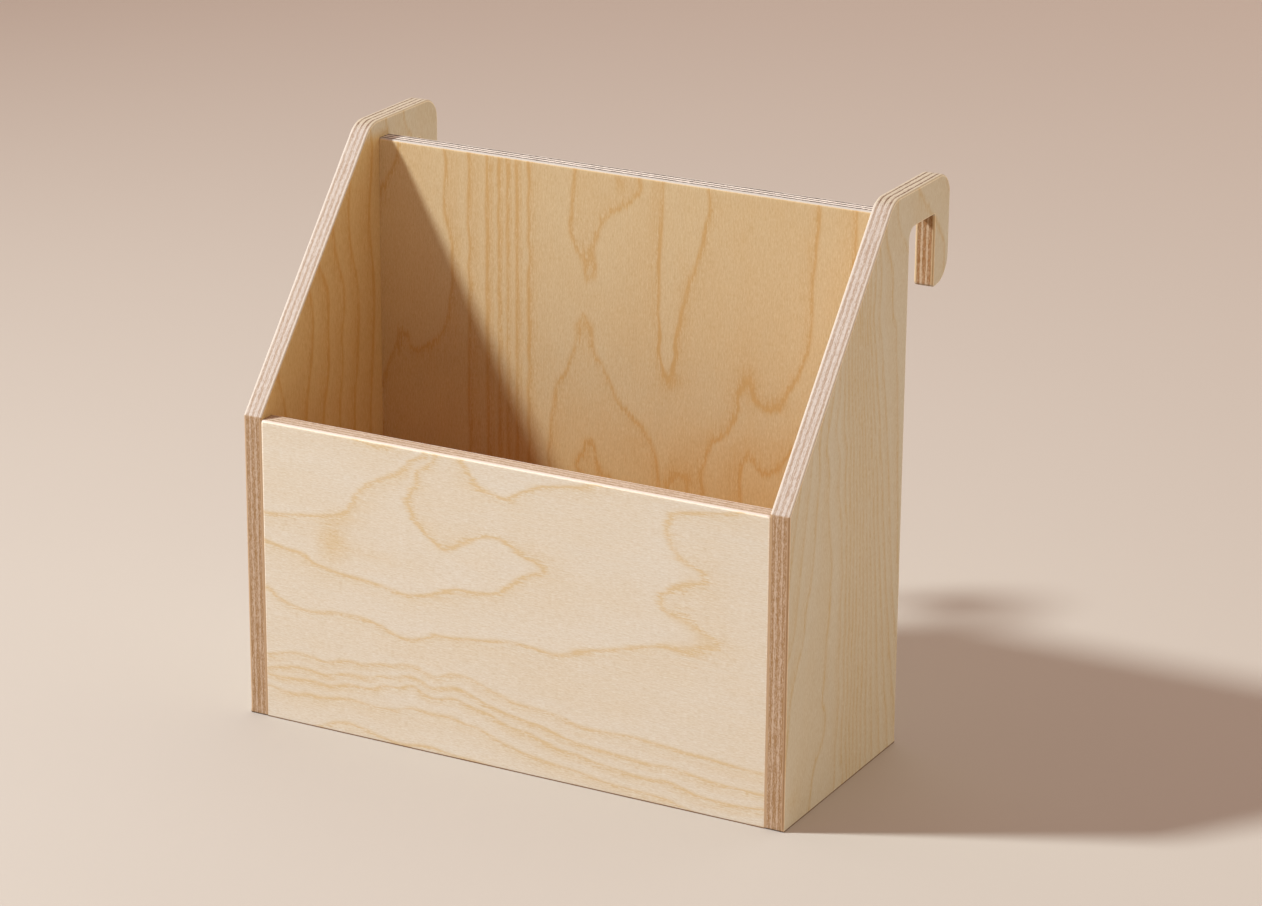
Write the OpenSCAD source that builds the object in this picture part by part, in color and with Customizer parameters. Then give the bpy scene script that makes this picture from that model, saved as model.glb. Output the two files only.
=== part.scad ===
// Wooden book rack: an open plywood bin with a low front, sloping sides and two hooks
// that hang over a board or rail. Millimetres, +Z up, the front faces -Y.
// The origin is at the middle of the rack's footprint, on the surface that it stands on.

/* [Rack] */
// Width over both side boards
rack_w = 260; // [200:1:400]
// Height of the side boards
rack_h = 246; // [215:1:320]
// Depth of the side boards, without the hooks
side_d = 108; // [90:1:160]
// Thickness of every board
board_t = 9; // [8.5:0.5:12]

/* [Side outline] */
// Height of the upright front edge of a side
side_front_h = 137.5; // [100:0.5:160]
// Depth at which the sloping edge reaches the top
crown_y = 92; // [60:1:100]
// Corner radius between the front edge and the slope
brow_r = 3; // [1.5:0.5:12]
// Corner radius between the slope and the top edge
crown_r = 12; // [2:0.5:30]
// Radius of the two bottom corners
foot_r = 2; // [1.5:0.5:4]

/* [Hook] */
// Width of the slot, for the board or rail that the rack hangs on
hook_gap = 25; // [16:0.5:40]
// Width of the arm behind the slot
hook_arm = 15; // [12:0.5:25]
// Height of the wood above the slot
hook_bar = 16; // [12:0.5:28]
// Length of the arm below the slot's top
hook_drop = 32; // [20:0.5:60]
// Radius of the hook's upper rear corner
hook_back_r = 10; // [2:0.5:12]
// Radius of the hook's lower rear corner
hook_tip_r = 12; // [2:0.5:14]
// Radius of the hook's lower inner corner
hook_toe_r = 1.5; // [1.5:0.1:4]
// Radius of the slot's front corner
slot_front_r = 5; // [1:0.5:8]
// Radius of the slot's rear corner
slot_rear_r = 1; // [0.8:0.1:5]

/* [Front, back and edges] */
// How far the front board's top lies below the start of the slope
front_step = 1; // [0:0.5:10]
// How far the back board's top lies below the top of the sides
back_drop = 8; // [2:0.5:40]
// How far the back board lies inside the rear edges of the sides
back_inset = 1; // [0.5:0.5:4]
// Radius to which every open arris is rounded
arris_r = 1; // [0.4:0.1:1.4]

/* [Dowels] */
// Diameter of a dowel
dowel_d = 6; // [4:0.5:6]
// Length of a dowel
dowel_l = 20; // [16:1:30]
// How deep a dowel sits in the face of a board
dowel_seat = 6; // [4:0.5:6.5]
// Chamfer at both ends of a dowel
dowel_chamfer = 0.7; // [0.3:0.1:1.2]
// Depth of a glue groove along a dowel
groove_depth = 0.3; // [0.2:0.05:0.5]
// Number of glue grooves round a dowel
groove_count = 8; // [6:1:12]
// Room for glue between a dowel and its hole, on the radius
glue_gap = 0.05; // [0.02:0.01:0.1]
// Room for glue at each end of a dowel
glue_well = 0.5; // [0.3:0.1:1]
// Distance from the end of a joint to its first dowel
dowel_margin = 22; // [16:1:30]
// Dowels in each joint of the front board with a side
front_dowels = 3; // [2:1:4]
// Dowels in each joint of the back board with a side
back_dowels = 4; // [2:1:6]
// Dowels in each joint of the floor board with a side
floor_side_dowels = 2; // [2:1:3]
// Dowels in the joints of the floor board with the front and the back board
floor_long_dowels = 4; // [2:1:6]

/* [Hidden] */
$fn = 64;

// Overlap by which a cutting tool passes the surface that it cuts
cut = 0.4;
// The least straight stretch left between two round corners
flat_min = 0.5;

// Depths, counted from the front edge of the sides
arm_y = side_d + hook_gap;
rack_d = arm_y + hook_arm;
back_y = side_d - back_inset - board_t;
inner_w = rack_w - 2 * board_t;
inner_d = back_y - board_t;

// Heights
slot_z = rack_h - hook_bar;
tip_z = slot_z - hook_drop;
front_h = side_front_h - front_step;
back_h = rack_h - back_drop;

// The origin lies in the middle of the whole depth
front_y = -rack_d / 2;
left_x = -rack_w / 2;
joint_x = left_x + board_t;
dowel_r = dowel_d / 2;

// The lower rear corner takes what the arm's width leaves beside the inner corner
tip_r = min(hook_tip_r, hook_arm - hook_toe_r - flat_min);

// Outline of a side board in its own plane: depth, height, corner radius,
// and 1 where the inner arris that starts at this corner is open and rounded too.
// It runs clockwise from the lower front corner.
side_outline = [
    [0, 0, foot_r, 0],
    [0, side_front_h, brow_r, 1],
    [crown_y, rack_h, crown_r, 1],
    [rack_d, rack_h, hook_back_r, 1],
    [rack_d, tip_z, tip_r, 1],
    [arm_y, tip_z, hook_toe_r, 1],
    [arm_y, slot_z, slot_rear_r, 1],
    [side_d, slot_z, slot_front_r, 1],
    [side_d, 0, foot_r, 0]
];

wood_front = "#E9D6B8";
wood_side = "#D9BE94";
wood_back = "#DDC193";
wood_floor = "#D8BC90";
wood_dowel = "#D2A76C";

// Geometry of a rounded corner. Each takes the corner's place in a closed outline.
function unit(v) = v / norm(v);
function wrap(i, n) = (i + n) % n;
function place(o, i) = [o[wrap(i, len(o))][0], o[wrap(i, len(o))][1]];
function to_last(o, i) = unit(place(o, i - 1) - place(o, i));
function to_next(o, i) = unit(place(o, i + 1) - place(o, i));
function half_angle(o, i) = acos(to_last(o, i) * to_next(o, i)) / 2;
function radius(o, i) = o[wrap(i, len(o))][2];
function reach(o, i) = radius(o, i) / tan(half_angle(o, i));
function inward(o, i) = unit(to_last(o, i) + to_next(o, i));
function arc_in(o, i) = place(o, i) + to_last(o, i) * reach(o, i);
function arc_out(o, i) = place(o, i) + to_next(o, i) * reach(o, i);
function arc_middle(o, i) = place(o, i) + inward(o, i) * radius(o, i) / sin(half_angle(o, i));
function turn(o, i) = 180 - 2 * half_angle(o, i);
// On a clockwise outline a hollow corner turns to the left
function hollow(o, i) = cross(-to_last(o, i), to_next(o, i)) > 0;
function bearing(v) = atan2(v[1], v[0]);
// Equal steps from one value to another
function steps(n, from, to) = [for (k = [0:n - 1]) from + (to - from) * k / (n - 1)];

// What a round corner takes off an outline, or fills in a hollow one
module corner_waste(o, i) {
    difference() {
        polygon([place(o, i) - inward(o, i) * cut, arc_in(o, i), arc_middle(o, i), arc_out(o, i)]);
        translate(arc_middle(o, i)) circle(r = radius(o, i));
    }
}

// Closed outline with its corners rounded
module rounded_outline(o) {
    difference() {
        union() {
            polygon([for (p = o) [p[0], p[1]]]);
            for (i = [0:len(o) - 1]) if (hollow(o, i)) corner_waste(o, i);
        }
        for (i = [0:len(o) - 1]) if (!hollow(o, i)) corner_waste(o, i);
    }
}

// Section of the rounding cutter: the arris is at the origin, the wood at -X and +Y
module arris_section() {
    difference() {
        translate([-arris_r, -cut]) square(arris_r + cut);
        translate([-arris_r, arris_r]) circle(r = arris_r);
    }
}

// Rounding cutter for a straight arris along +X, with the wood at -Y and +Z
module straight_cutter(length) {
    rotate([90, 0, 90]) linear_extrude(length) arris_section();
}

// Rounding cutter for the arris of one round corner, in the plane of the outline
module corner_cutter(o, i) {
    from = hollow(o, i) ? arc_in(o, i) : arc_out(o, i);
    translate(concat(arc_middle(o, i), 0))
        rotate([0, 0, bearing(from - arc_middle(o, i))])
            rotate_extrude(angle = turn(o, i)) translate([radius(o, i), 0]) {
                if (hollow(o, i)) mirror([1, 0]) arris_section();
                else arris_section();
            }
}

// Rounding cutter for the straight arris from one corner to the next
module edge_cutter(o, i) {
    run = arc_in(o, i + 1) - arc_out(o, i);
    translate(concat(arc_out(o, i), 0))
        rotate([0, 0, bearing(run)]) straight_cutter(norm(run));
}

// Side board lying flat: the outer face at Z 0, the inner face on top
module flat_side() {
    difference() {
        linear_extrude(board_t) rounded_outline(side_outline);
        for (i = [0:len(side_outline) - 1]) {
            edge_cutter(side_outline, i);
            corner_cutter(side_outline, i);
            if (side_outline[i][3] == 1) {
                translate([0, 0, board_t]) mirror([0, 0, 1]) {
                    edge_cutter(side_outline, i);
                    corner_cutter(side_outline, i);
                }
            }
        }
    }
}

// Board that stands across the rack, with its top arrises and its outer bottom arris rounded.
// Its outer face is at Y 0 and its inner face at +Y.
module cross_board(height) {
    difference() {
        translate([-inner_w / 2, 0, 0]) cube([inner_w, board_t, height]);
        translate([left_x, 0, height]) rotate([180, 0, 0]) straight_cutter(rack_w);
        translate([left_x, board_t, height]) rotate([90, 0, 0]) straight_cutter(rack_w);
        translate([left_x, 0, 0]) rotate([-90, 0, 0]) straight_cutter(rack_w);
    }
}

// Dowel along +Z, its joint plane at Z 0 and its seat in the board face below
module dowel() {
    translate([0, 0, -dowel_seat]) intersection() {
        linear_extrude(dowel_l) difference() {
            circle(r = dowel_r);
            for (k = [1:groove_count])
                rotate(k * 360 / groove_count) translate([dowel_r, 0]) circle(r = groove_depth);
        }
        rotate_extrude() polygon([
            [0, 0],
            [dowel_r - dowel_chamfer, 0],
            [dowel_r, dowel_chamfer],
            [dowel_r, dowel_l - dowel_chamfer],
            [dowel_r - dowel_chamfer, dowel_l],
            [0, dowel_l]
        ]);
    }
}

// The hole that takes one dowel, through the joint plane and into both boards
module dowel_hole() {
    translate([0, 0, -dowel_seat - glue_well])
        cylinder(r = dowel_r + glue_gap, h = dowel_l + 2 * glue_well);
}

// The places of the joints. Each puts what it is given at every dowel of the joint,
// with +Z pointing out of the board whose face the dowels sit in.
module at_side_joint(depth, heights) {
    for (z = heights) translate([joint_x, front_y + depth, z]) rotate([0, 90, 0]) children();
}

module at_front_left() {
    at_side_joint(board_t / 2, steps(front_dowels, dowel_margin, front_h - dowel_margin)) children();
}

module at_back_left() {
    at_side_joint(back_y + board_t / 2, steps(back_dowels, dowel_margin, back_h - dowel_margin))
        children();
}

module at_bottom_left() {
    for (y = steps(floor_side_dowels, board_t + dowel_margin, back_y - dowel_margin))
        at_side_joint(y, [board_t / 2]) children();
}

module at_bottom_long(depth, tilt) {
    for (x = steps(floor_long_dowels, dowel_margin - inner_w / 2, inner_w / 2 - dowel_margin))
        translate([x, front_y + depth, board_t / 2]) rotate([tilt, 0, 0]) children();
}

module at_bottom_front() {
    at_bottom_long(board_t, -90) children();
}

module at_bottom_back() {
    at_bottom_long(back_y, 90) children();
}

// The same joint on the right side
module on_right() {
    mirror([1, 0, 0]) children();
}

// Left side board with the holes for its dowels
module side_board() {
    difference() {
        translate([left_x, front_y, 0]) rotate([90, 0, 90]) flat_side();
        at_front_left() dowel_hole();
        at_back_left() dowel_hole();
        at_bottom_left() dowel_hole();
    }
}

module side_left() {
    color(wood_side) side_board();
}

module side_right() {
    color(wood_side) on_right() side_board();
}

module front_panel() {
    color(wood_front) difference() {
        translate([0, front_y, 0]) cross_board(front_h);
        at_front_left() dowel_hole();
        on_right() at_front_left() dowel_hole();
        at_bottom_front() dowel_hole();
    }
}

module back_panel() {
    color(wood_back) difference() {
        translate([0, front_y + back_y + board_t, 0]) mirror([0, 1, 0]) cross_board(back_h);
        at_back_left() dowel_hole();
        on_right() at_back_left() dowel_hole();
        at_bottom_back() dowel_hole();
    }
}

module bottom_panel() {
    color(wood_floor) difference() {
        translate([-inner_w / 2, front_y + board_t, 0]) cube([inner_w, inner_d, board_t]);
        at_bottom_left() dowel_hole();
        on_right() at_bottom_left() dowel_hole();
        at_bottom_front() dowel_hole();
        at_bottom_back() dowel_hole();
    }
}

module dowels_front_left() {
    color(wood_dowel) at_front_left() dowel();
}

module dowels_front_right() {
    color(wood_dowel) on_right() at_front_left() dowel();
}

module dowels_back_left() {
    color(wood_dowel) at_back_left() dowel();
}

module dowels_back_right() {
    color(wood_dowel) on_right() at_back_left() dowel();
}

module dowels_bottom_left() {
    color(wood_dowel) at_bottom_left() dowel();
}

module dowels_bottom_right() {
    color(wood_dowel) on_right() at_bottom_left() dowel();
}

module dowels_bottom_front() {
    color(wood_dowel) at_bottom_front() dowel();
}

module dowels_bottom_back() {
    color(wood_dowel) at_bottom_back() dowel();
}

side_left();
side_right();
front_panel();
back_panel();
bottom_panel();
dowels_front_left();
dowels_front_right();
dowels_back_left();
dowels_back_right();
dowels_bottom_left();
dowels_bottom_right();
dowels_bottom_front();
dowels_bottom_back();
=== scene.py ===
"""Looks of a plywood book rack: birch veneer, ply edges, beech dowels, a pale floor and soft light."""
from collections import namedtuple
from math import cos, pi, radians, sin

import bpy
import numpy as np
from mathutils import Matrix, Vector


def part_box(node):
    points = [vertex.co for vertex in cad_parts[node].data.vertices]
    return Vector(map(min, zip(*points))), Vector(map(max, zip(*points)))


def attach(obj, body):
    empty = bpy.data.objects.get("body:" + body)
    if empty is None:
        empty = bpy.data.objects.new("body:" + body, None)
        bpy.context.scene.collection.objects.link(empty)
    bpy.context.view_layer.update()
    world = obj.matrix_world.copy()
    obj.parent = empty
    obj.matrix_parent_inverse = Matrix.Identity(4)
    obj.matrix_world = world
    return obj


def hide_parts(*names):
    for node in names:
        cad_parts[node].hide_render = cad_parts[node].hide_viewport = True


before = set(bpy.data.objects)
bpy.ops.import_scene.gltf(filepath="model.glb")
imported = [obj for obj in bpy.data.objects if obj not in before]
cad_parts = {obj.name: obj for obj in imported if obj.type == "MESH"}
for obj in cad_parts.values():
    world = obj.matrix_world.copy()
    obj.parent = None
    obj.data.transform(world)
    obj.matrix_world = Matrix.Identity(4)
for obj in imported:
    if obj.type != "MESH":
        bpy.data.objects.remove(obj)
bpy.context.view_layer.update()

MM = 0.001
X, Y, Z = 0, 1, 2

# Lowest and highest corner of each board in millimetres, and the sizes that follow from them
side_low, side_high = (np.array(corner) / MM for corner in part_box("side_left"))
front_low, front_high = (np.array(corner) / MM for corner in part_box("front_panel"))
back_low, back_high = (np.array(corner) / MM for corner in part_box("back_panel"))
floor_low, floor_high = (np.array(corner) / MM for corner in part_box("bottom_panel"))
BOARD_T = side_high[X] - side_low[X]
RACK_D = side_high[Y] - side_low[Y]
RACK_H = side_high[Z]
FRONT_Y = side_low[Y]
HALF_W = -side_low[X]

# Outline of a side board in millimetres: each corner is its depth from the front edge, height and radius
SIDE_FRONT_H = 137.5
SIDE_D = 108
CROWN_DEPTH = 92
ARM_DEPTH = 133
SLOT_H = 230
TIP_H = 198
FOOT = (0, 0, 0.8)
BROW = (0, SIDE_FRONT_H, 1.2)
CROWN = (CROWN_DEPTH, RACK_H, 12)
HOOK_BACK = (RACK_D, RACK_H, 10)
HOOK_TIP = (RACK_D, TIP_H, 12)
TOE = (ARM_DEPTH, TIP_H, 1.5)
SLOT_REAR = (ARM_DEPTH, SLOT_H, 1)
SLOT_FRONT = (SIDE_D, SLOT_H, 5)
REAR_FOOT = (SIDE_D, 0, 0.8)

# Arrises in millimetres: radius of the open ones, of the outer ones at the foot and of those closed in a
# joint, and the height over which one passes into another; steps of each quarter round
ARRIS = 1.0
FOOT_ARRIS = 0.2
CLOSED_ARRIS = 0.15
ARRIS_RUN = 3
ARRIS_STEPS = 6

# Plies of a board, and how far every other one stands back at a cut edge
PLIES = 7
PLY_RELIEF = 0.03

# Grids of the faces: size of a cell in millimetres, steps of a rounded corner, columns of a side board,
# and its rungs from the foot round to the tip of the hook
CELL = 1.35
CORNER_STEPS = 24
SIDE_COLUMNS = 72
FOOT_RUNGS = 5
SLOPE_RUNGS = 12
ARM_RUNGS = 30
ARM_END_RUNGS = 5
HOOK_RUNGS = 34
TIP_RUNGS = 10
# The brow has a rung at every so many steps of its corner, and one this far before and after it
BROW_STRIDE = 6
BROW_MARGIN = .25

# Heights of the points of a straight line on the back board
STRAIGHT_HEIGHTS = range(101, 241, 17)


def upright(across):
    """Points of a straight line up the back board."""
    return [(across, height) for height in STRAIGHT_HEIGHTS]


# The direction of its plane that the grain of a face runs along: the first, level, or the second, upright
LEVEL_GRAIN, UPRIGHT_GRAIN = 0, 1

# Growth lines of the veneers, as (level, points): the points were placed one by one, in millimetres.
# A whole level is a line of late wood; other levels only hold the surface between the lines.
FRONT_LINES = [
    (0, [(-52, 1), (-40, 2.5), (-28, 1)]),
    (1, [(-121, 14.6), (-100, 14.6), (-84, 16), (-66, 15.4), (-55, 16), (-46, 18.7), (-34, 18.3),
         (-21, 16.7), (-8, 13.4), (9, 9), (34, 6.5), (60, 3.7), (84, .5)]),
    (2, [(-121, 20), (-97, 20.8), (-78, 23), (-62, 26), (-48.5, 29), (-28.5, 27.2), (-11, 24.2),
         (9, 18.9), (34, 13.8), (74, 11.2), (121, 8.4)]),
    (3, [(-121, 22.5), (-91, 25), (-66, 29), (-54, 31.3), (-38, 30), (-11, 27.6), (9, 24), (34, 19),
         (70, 17), (121, 15)]),
    (4, [(-121, 29.5), (-91, 31.5), (-72, 34), (-56, 36.4), (-36, 35.2), (-8, 34.4), (2, 31.8), (22, 30),
         (50, 27.4), (84, 26), (121, 24.7)]),
    (5, [(-119, 60.5), (-114, 57), (-107, 54.2), (-98, 53.2), (-88, 55), (-66, 54.2), (-36, 54.2),
         (-18, 56), (-6, 57.6), (14, 58), (34, 61), (59, 67.5), (80, 71), (94, 74.5), (98, 77.5),
         (92, 80.3), (80, 86), (72, 92), (77, 97), (86, 101), (92, 105), (86, 109), (77, 115.5),
         (74.4, 122), (77, 128.5), (88, 132), (104, 134.5)]),
    (6, [(-121, 82), (-110, 80), (-103, 79.5), (-97, 76.6), (-82, 73.6), (-62, 72), (-48, 70.3),
         (-38, 72.5), (-26, 77), (-13, 77.8), (-4, 80), (4, 86), (12, 91), (17.4, 94), (12, 97.3),
         (2, 101), (-8, 104), (-18, 100.7), (-26, 96), (-31, 94.4), (-38, 98.5), (-44, 104.5),
         (-48.4, 111), (-47, 117), (-44, 122), (-43, 127), (-34.5, 136)]),
    (6, [(-23, 136), (-20, 131.5), (-15, 126), (-6, 122.6), (1, 122.4), (6, 125.8), (12, 129),
         (24, 131.8), (42, 135.5)]),
    (7, [(-121, 95), (-108, 96), (-98, 97.5), (-84, 100), (-78, 103), (-75, 109), (-70, 115), (-60, 121),
         (-50, 127), (-40.5, 135)]),
    (0.5, [(-100, 6), (-121, 6)]),
    (4.5, [(-70, 45), (0, 45), (70, 47), (115, 62), (104, 92), (113, 104), (100, 120), (112, 128)]),
    (5.4, [(40, 84), (45, 112), (-60, 62), (0, 68), (60, 88), (63, 104), (62, 122)]),
    (5.6, [(10, 112), (-22, 112), (-30, 120)]),
    (6.5, [(-60, 82), (-40, 86), (-12, 91), (-66, 104), (-58, 94)]),
    (7.5, [(-105, 115), (-85, 126), (-117, 132)]),
]
BACK_LINES = [
    (0, [(-22, 104), (-18.2, 110), (-15, 115), (-12, 107.5), (-9.5, 101)]),
    (1, [(-35.5, 101), (-35, 115), (-33.2, 127.5), (-30.7, 140), (-25.7, 150), (-23.2, 156), (-20.7, 166),
         (-17.5, 170.5), (-14.5, 166), (-12, 155), (-7, 147.5), (-2, 137.5), (4.2, 131), (10.5, 126),
         (15.5, 119), (18, 110), (19.2, 101)]),
    (1, [(-23, 236), (-24.5, 217.5), (-24.5, 207.5), (-22, 202.5), (-17.5, 194), (-15.7, 190),
         (-14.5, 202.5), (-10.7, 212.5), (-5.7, 220), (3, 226), (9, 233)]),
    (2, [(19.6, 236), (19.3, 225), (18.9, 215), (18.3, 205), (18, 195), (18, 185), (18.2, 175),
         (18.7, 165), (19.7, 157), (21.4, 152), (23, 150.6), (24.6, 152), (25.6, 158), (26.3, 165),
         (27.5, 173), (29.1, 181), (31.2, 189), (33.8, 197), (36.7, 205), (40, 220), (41.7, 236)]),
    (2.12, [(22.7, 162)]),
    (2.2, [(23, 175), (24.4, 187)]),
    (2.35, [(26, 205)]),
    (1.85, [(15, 187), (15, 171), (16.3, 156), (23, 145.5), (28.8, 156), (30.6, 169), (33, 181),
         (36.6, 191)]),
    (2, [(93, 236), (91.7, 215), (90.5, 190), (89.2, 175), (85.5, 162.5), (80.5, 154), (76.7, 147),
         (70, 144.5), (65, 147), (61.5, 156), (58.5, 152), (56.7, 142), (51.7, 131), (45.5, 126),
         (41.7, 117.5), (40.5, 101)]),
    (2.2, [(61, 146), (59, 138)]),
    (2, [(23, 101), (28, 107.5), (33, 101)]),
    (2, upright(-45.8)),
    (3, upright(-51.6)),
    (4, upright(-56.4)),
    (5, upright(-60.2)),
    (6, upright(-66.4)),
    (7, upright(-75.8)),
    (8, [(-87, 232), (-88, 215), (-84, 195), (-84, 178), (-86, 163), (-91, 152), (-97, 146), (-103, 143),
         (-109, 151), (-114, 142), (-119, 130)]),
    (3, [(58.5, 101), (58, 110), (59.2, 117.5), (61.7, 120.5), (68, 116), (75.5, 117.5), (80.5, 125),
         (84.2, 130), (92, 140), (103, 162), (108, 200), (110, 236)]),
    (0.6, [(-20, 128), (-2, 118), (-10, 229), (-12, 236)]),
    (1.5, [(-35, 150), (-35, 200), (-35, 232), (2, 165), (5, 190), (11, 215), (60, 220), (55, 180),
         (30, 125), (45, 145), (-16, 180), (35, 138), (-40, 115)]),
    (2.5, [(29, 205), (30, 230), (50, 105), (65, 132), (78, 134), (100, 190)]),
    (8.5, [(-105, 200), (-112, 170)]),
    (7.5, [(-103, 130), (-100, 110)]),
]
RIGHT_LINES = [
    (1, [(14, 128), (10, 106), (6.5, 86)]),
    (2, [(27, 150), (24, 126), (21.5, 106), (16.5, 91), (11.5, 73.5), (5, 60)]),
    (3, [(33, 156), (35, 133.5), (37.7, 116), (39, 96), (36.5, 71), (34, 46), (29, 21), (24, 2)]),
    (4, [(41.5, 163.5), (45, 138.5), (49, 118.5), (51, 96), (50, 71), (50, 46), (49, 28.5), (47, 2)]),
    (5, [(49, 175), (52, 150), (53.5, 120), (54.5, 96), (55, 70), (55, 40), (56, 2)]),
    (9, [(60, 200), (62.5, 165), (65.5, 135), (67, 110), (68, 84), (68, 58), (68, 30), (69, 2)]),
    (14, [(71, 200), (75, 176), (77, 163.5), (80, 141), (84, 111), (88, 83.5), (91.5, 58.5), (95, 33.5),
         (98, 18.5), (100, 2)]),
    (17, [(85, 232), (92, 215), (97, 190), (100, 165), (102, 140), (104, 110), (106, 80)]),
    (2.5, [(16, 60), (12, 30), (8, 10)]),
    (19, [(120, 240), (143, 215)]),
]
LEFT_LINES = [
    (1, [(14, 151), (18, 138.5), (20, 120)]),
    (2, [(40, 181), (42, 168.5), (41, 156), (36.5, 136), (33, 110)]),
    (3, [(47.7, 192), (52.7, 183.5), (54.5, 168.5), (54, 146), (50, 128.5), (48, 100)]),
    (4, [(60, 203.5), (61.5, 193.5), (66.5, 181), (67.7, 171), (65, 156), (65, 138.5), (64, 100)]),
    (5, [(73, 218.5), (72, 206), (75, 188.5), (78.5, 173.5), (79, 158.5), (77.7, 141), (75, 126),
         (74, 100)]),
    (6, [(92, 236), (90, 190), (91, 150), (88, 100)]),
    (1.5, [(20, 60), (15, 10)]),
    (4.5, [(80, 20), (70, 50)]),
    (8, [(120, 240), (143, 215)]),
]

# Darker patches of a face, as (across, up, half width, half height, strength), in millimetres
FRONT_PATCHES = [(-86, 88, 7, 9, .9), (-70, 85, 12, 2.5, .3), (-82, 100, 6, 4, .25), (-30, 96, 8, 4, .2)]
BACK_PATCHES = [(25, 150, 5, 4, .6), (45, 98, 55, 24, .3), (62, 152, 4, 8, .45), (75, 147, 8, 4, .5),
                (-0.7, 234, 2.2, 3.5, .8), (-17.5, 167.5, 3.5, 3.2, .6), (30, 190, 4, 14, .35),
                (28, 103, 6, 4, .45)]
RIGHT_PATCHES = [(8, 11, 5, 4, .4), (37, 60, 3, 30, .25)]
NO_PATCHES = []

# Figure of the other faces: arches along the grain, bent by waves, in millimetres. Pairs are the least
# and the most of a random draw.
ARCH_SPACING = 13
ARCH_BLUNTNESS = 18
ARCH_MIDDLE = (30, 90)
ARCH_RISE = (60, 95)
WAVES = 12
WAVE_ALONG = (110, 420)
WAVE_ACROSS = (45, 160)
WAVE_SIZE = (.06, .24)

# Points for which a figure is worked out at once, and what keeps a logarithm finite
BLOCK = 8000
TINY = 1e-9


def srgb(red, green, blue):
    """The linear colour that shows as these 8-bit values."""
    value = np.array([red, green, blue]) / 255
    linear = np.where(value <= .04045, value / 12.92, ((value + .055) / 1.055) ** 2.4)
    return (*linear, 1)


# Colours of the wood: veneers, those within the bin with painted warm shade, and the tints that turn them
# into early wood, late wood and stains, paint warm shade low in the bin and paint a contact shadow at the
# foot
VENEER_FRONT = srgb(226, 213, 193)
VENEER_SIDE = srgb(217, 202, 180)
# Inner veneers, used within the bin: partly their own warmer colour, partly painted warm shade from
# bounced light
BIN_VENEER_AND_SHADE = srgb(213, 187, 144)
SIDE_BIN_VENEER_AND_SHADE = srgb(217, 187, 138)
PALE_TINT = (1.02, 1.05, 1.09, 1)
LINE_TINT = (0.93, 0.80, 0.575, 1)
# Line tint within the bin, shifted for the painted warm shade as well
BIN_LINE_TINT_AND_SHADE = (0.905, 0.745, 0.52, 1)
# Painted warm shade from bounced light, low down in the bin
LOW_BIN_SHADE_TINT = (0.955, 0.85, 0.69, 1)
# Painted contact shadow: a brown line along the foot of every board
CONTACT_SHADOW_TINT = (0.30, 0.17, 0.09, 1)
PIT_TINT = (0.80, 0.68, 0.56, 1)
DOWEL_WOOD = srgb(206, 166, 118)

# Strength of the late wood's lines on the outer and the inner face of each board
SIDE_STRENGTHS = (.60, .90)
FRONT_STRENGTHS = (.74, .70)
BACK_STRENGTHS = (.60, .80)
FLOOR_STRENGTHS = (.60, .66)


def cut_look(along, across, outer, breadth, streaks):
    """How a cut edge looks, as one row: the colours of its plies cut along their grain, of its plies cut
    across it and of its outer plies, how broad the ones cut across look, and how far streaks hide the
    plies."""
    return np.r_[srgb(*along)[:3], srgb(*across)[:3], srgb(*outer)[:3], breadth, streaks]


UPRIGHT_CUT = cut_look((201, 174, 148), (163, 124, 80), (190, 156, 120), breadth=.60, streaks=.50)
# On the slope the plies are painted paler and pinker: partly their own colour, partly a painted sheen of
# the key light
SLANTING_CUT_AND_SHEEN = cut_look((198, 184, 169), (167, 141, 117), (206, 192, 174), breadth=.42, streaks=.28)
LEVEL_CUT = cut_look((191, 175, 149), (105, 72, 46), (193, 177, 149), breadth=.28, streaks=0)
FRONT_CUT = cut_look((196, 176, 153), (156, 127, 96), (208, 193, 176), breadth=.42, streaks=.40)
BACK_CUT = cut_look((232, 217, 200), (60, 42, 28), (190, 180, 166), breadth=.48, streaks=0)
HOOK_CUT = cut_look((205, 178, 148), (159, 112, 65), (206, 177, 137), breadth=.60, streaks=.2)

# Where a side board's cut edge passes from one look to the next: as it turns towards the level, by how
# far it faces up or down, and over these millimetres from the board into the hook
SLANTING_FACING = (.1, .6)
LEVEL_FACING = (.7, .95)
HOOK_CUT_RUN = 2

# Backdrop paper, and the painted light on it: how much paler it is painted per millimetre to the right and
# to the rear, and between which places
FLOOR_PAPER = srgb(186, 176, 162)
PAPER_LIGHT_SIDEWAYS = -0.00003
PAPER_LIGHT_BACKWARDS = 0.0002
PAPER_LEFT, PAPER_RIGHT = -900, 900
PAPER_FRONT, PAPER_REAR = -250, 2400
FLOOR_REACH = 8

# Light: each fill comes from half the surroundings, strongest along its direction. The key is given by
# what it would add on a surface that faces it, if it shone evenly all round; its place, aim and size are
# in metres.
FILLS = [
    ((1, 0, 0), (0.498, 0.525, 0.353, 1)),
    ((0, 1, 0), (0.994, 1.122, 1.041, 1)),
    ((0, 0, 1), (0.504, 0.209, 0.231, 1)),
    ((0, -1, 0), (0.091, 0.077, 0.047, 1)),
]
KEY = np.array([0.253, 0.282, 0.304])
KEY_PLACE = Vector((-2.015, -1.145, 2.207))
KEY_AIM = Vector((0.45, -0.35, 0))
KEY_SPREAD = 80
KEY_SIZE = 0.34
BEHIND_COLOUR = srgb(205, 186, 170)

# Camera: place and range in metres, angles in degrees, lens and sensor in millimetres
CAMERA_PLACE = Vector((0.79877, -1.45586, 0.70065))
CAMERA_AZIMUTH = 28.20
CAMERA_DROP = 19.27
CAMERA_ROLL = 0.425
LENS = 116.957
SENSOR = 36
NEAREST, FARTHEST = .05, 100


# Outlines

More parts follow.
